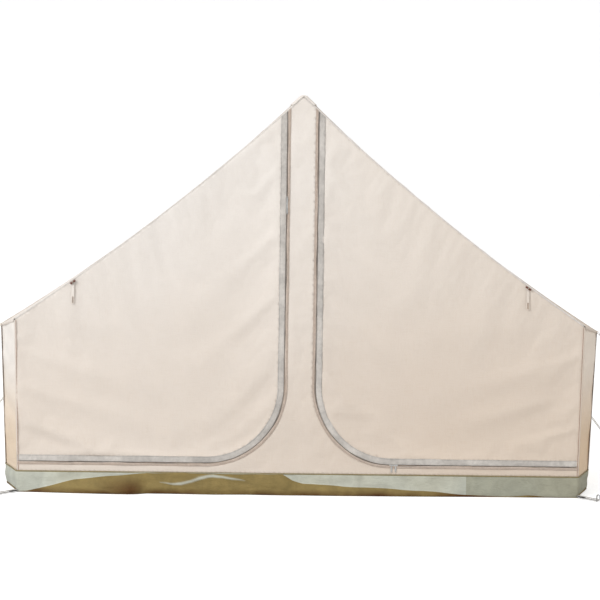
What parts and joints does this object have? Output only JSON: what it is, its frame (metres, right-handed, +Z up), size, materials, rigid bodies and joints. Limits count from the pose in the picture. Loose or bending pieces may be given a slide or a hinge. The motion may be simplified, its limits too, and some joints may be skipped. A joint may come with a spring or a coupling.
{
  "type": "bell tent",
  "caption": "Canvas bell tent with a flat zipped front wall, a sagging half-round roof of gores, low rear walls, a tub groundsheet, a centre pole and pegged guy lines.",
  "frame": {"origin": "foot of the centre pole on the ground, on the groundsheet's underside", "axes": "+Z up, -Y out of the flat front wall, +X to the right seen from the front"},
  "size_m": [4.7144, 2.5387, 2.1564],
  "materials": {
    "canvas": "fine plain weave, off-white cream, matt",
    "side_canvas": "the same canvas in its own shade, tan",
    "seam_tape": "stitched cotton webbing",
    "zip_tape": "grey woven zip tape with a nylon coil",
    "slider_metal": "bright zinc-plated zip hardware",
    "groundsheet": "coated grey-green and olive sheeting",
    "pole_steel": "galvanised tube, satin",
    "foot_rubber": "moulded rubber",
    "black_plastic": "moulded nylon",
    "grey_webbing": "woven polyester webbing",
    "guy_rope": "braided cord",
    "ring_steel": "zinc-plated wire",
    "peg_steel": "galvanised round rod",
    "toggle_wood": "dark brown turned wood",
    "runner_wood": "oiled beech"
  },
  "bodies": {
    "tent": {"apex_cap": "canvas", "corner_buckles": "black_plastic", "corner_straps": "grey_webbing", "front_centre_panel": "canvas", "ground_pegs": "peg_steel", "groundsheet_floor": "groundsheet", "groundsheet_upstand": "groundsheet", "guy_loops": "seam_tape", "guy_pegs": "peg_steel", "guy_rings": "ring_steel", "guy_ropes": "guy_rope", "hip_seam_tapes": "seam_tape", "left_door_side_panel": "canvas", "left_tie_strap": "grey_webbing", "left_zip_frame_tape": "zip_tape", "peg_loops": "grey_webbing", "pole_foot": "foot_rubber", "pole_joint_sleeve": "pole_steel", "pole_lower_tube": "pole_steel", "pole_top_cap": "black_plastic", "pole_upper_tube": "pole_steel", "right_door_side_panel": "canvas", "right_tie_strap": "grey_webbing", "right_zip_frame_tape": "zip_tape", "roof_gore_1": "canvas", "roof_gore_2": "canvas", "roof_gore_3": "canvas", "roof_gore_4": "canvas", "roof_gore_5": "canvas", "roof_side_gore_left": "canvas", "roof_side_gore_right": "canvas", "side_wall_left": "side_canvas", "side_wall_right": "side_canvas", "wall_panel_1": "canvas", "wall_panel_2": "canvas", "wall_panel_3": "canvas", "wall_panel_4": "canvas", "wall_panel_5": "canvas", "wall_seam_tapes": "seam_tape"},
    "left_door": {"left_door_flap": "canvas", "left_zip_door_tape": "zip_tape"},
    "right_door": {"right_door_flap": "canvas", "right_zip_door_tape": "zip_tape"},
    "left_upper_slider": {"left_zip_slider_upper": "slider_metal"},
    "left_upper_pull": {"left_zip_pull_upper": "slider_metal"},
    "left_lower_slider": {"left_zip_slider_lower": "slider_metal"},
    "left_lower_pull": {"left_zip_pull_lower": "slider_metal"},
    "right_inner_slider": {"right_zip_slider_inner": "slider_metal"},
    "right_inner_pull": {"right_zip_pull_inner": "slider_metal"},
    "right_outer_slider": {"right_zip_slider_outer": "slider_metal"},
    "right_outer_pull": {"right_zip_pull_outer": "slider_metal"},
    "runner_1": {"guy_runner_1": "runner_wood"},
    "runner_2": {"guy_runner_2": "runner_wood"},
    "runner_3": {"guy_runner_3": "runner_wood"},
    "runner_4": {"guy_runner_4": "runner_wood"},
    "runner_5": {"guy_runner_5": "runner_wood"},
    "runner_6": {"guy_runner_6": "runner_wood"},
    "left_toggle": {"left_tie_toggle": "toggle_wood"},
    "right_toggle": {"right_tie_toggle": "toggle_wood"}
  },
  "joints": [
    {"name": "left_door_fold", "type": "hinge", "parent": "tent", "child": "left_door", "pos_m": [-0.083, -0.03325, 1.88163], "axis": [-0.6025, -0.0707, -0.795], "range_deg": [0, 150]},
    {"name": "right_door_fold", "type": "hinge", "parent": "tent", "child": "right_door", "pos_m": [0.083, -0.03325, 1.88163], "axis": [-0.6025, 0.0707, 0.795], "range_deg": [0, 150]},
    {"name": "left_upper_slide", "type": "slide", "parent": "tent", "child": "left_upper_slider", "axis": [0, 0.0885, 0.9961], "range_m": [0, 0.43]},
    {"name": "left_upper_pull_flip", "type": "hinge", "parent": "left_upper_slider", "child": "left_upper_pull", "pos_m": [-0.075, -0.07651, 1.43897], "axis": [1, 0, 0], "range_deg": [0, 110]},
    {"name": "left_lower_slide", "type": "slide", "parent": "tent", "child": "left_lower_slider", "axis": [0, 0.0885, 0.9961], "range_m": [-0.85, 0]},
    {"name": "left_lower_pull_flip", "type": "hinge", "parent": "left_lower_slider", "child": "left_lower_pull", "pos_m": [-0.075, -0.07832, 1.41855], "axis": [-1, 0, 0], "range_deg": [0, 110]},
    {"name": "right_inner_slide", "type": "hinge", "parent": "tent", "child": "right_inner_slider", "pos_m": [0.46, -0.15163, 0.53281], "axis": [0, 0.9961, -0.0885], "range_deg": [0, 90]},
    {"name": "right_outer_slide", "type": "slide", "parent": "tent", "child": "right_outer_slider", "axis": [1, 0, 0], "range_m": [0, 0.86]},
    {"name": "right_inner_pull_flip", "type": "hinge", "parent": "right_inner_slider", "child": "right_inner_pull", "pos_m": [0.46, -0.1911, 0.1498], "axis": [-1, 0, 0], "range_deg": [0, 110]},
    {"name": "right_outer_pull_flip", "type": "hinge", "parent": "right_outer_slider", "child": "right_outer_pull", "pos_m": [0.4805, -0.1911, 0.1498], "axis": [-1, 0, 0], "range_deg": [0, 110]},
    {"name": "guy_runner_1_slide", "type": "slide", "parent": "tent", "child": "runner_1", "axis": [0.7193, 0, -0.6947], "range_m": [-0.19, 0.22]},
    {"name": "guy_runner_2_slide", "type": "slide", "parent": "tent", "child": "runner_2", "axis": [0.582, 0.4228, -0.6947], "range_m": [-0.19, 0.22]},
    {"name": "guy_runner_3_slide", "type": "slide", "parent": "tent", "child": "runner_3", "axis": [0.2223, 0.6841, -0.6947], "range_m": [-0.19, 0.22]},
    {"name": "guy_runner_4_slide", "type": "slide", "parent": "tent", "child": "runner_4", "axis": [-0.2223, 0.6841, -0.6947], "range_m": [-0.19, 0.22]},
    {"name": "guy_runner_5_slide", "type": "slide", "parent": "tent", "child": "runner_5", "axis": [-0.582, 0.4228, -0.6947], "range_m": [-0.19, 0.22]},
    {"name": "guy_runner_6_slide", "type": "slide", "parent": "tent", "child": "runner_6", "axis": [-0.7193, 0, -0.6947], "range_m": [-0.19, 0.22]},
    {"name": "left_toggle_turn", "type": "hinge", "parent": "tent", "child": "left_toggle", "pos_m": [-1.128, -0.11609, 1.03551], "axis": [0.8109, 0.0518, 0.5829], "continuous": true},
    {"name": "right_toggle_turn", "type": "hinge", "parent": "tent", "child": "right_toggle", "pos_m": [1.128, -0.11609, 1.03551], "axis": [0.8109, -0.0518, -0.5829], "continuous": true}
  ]
}
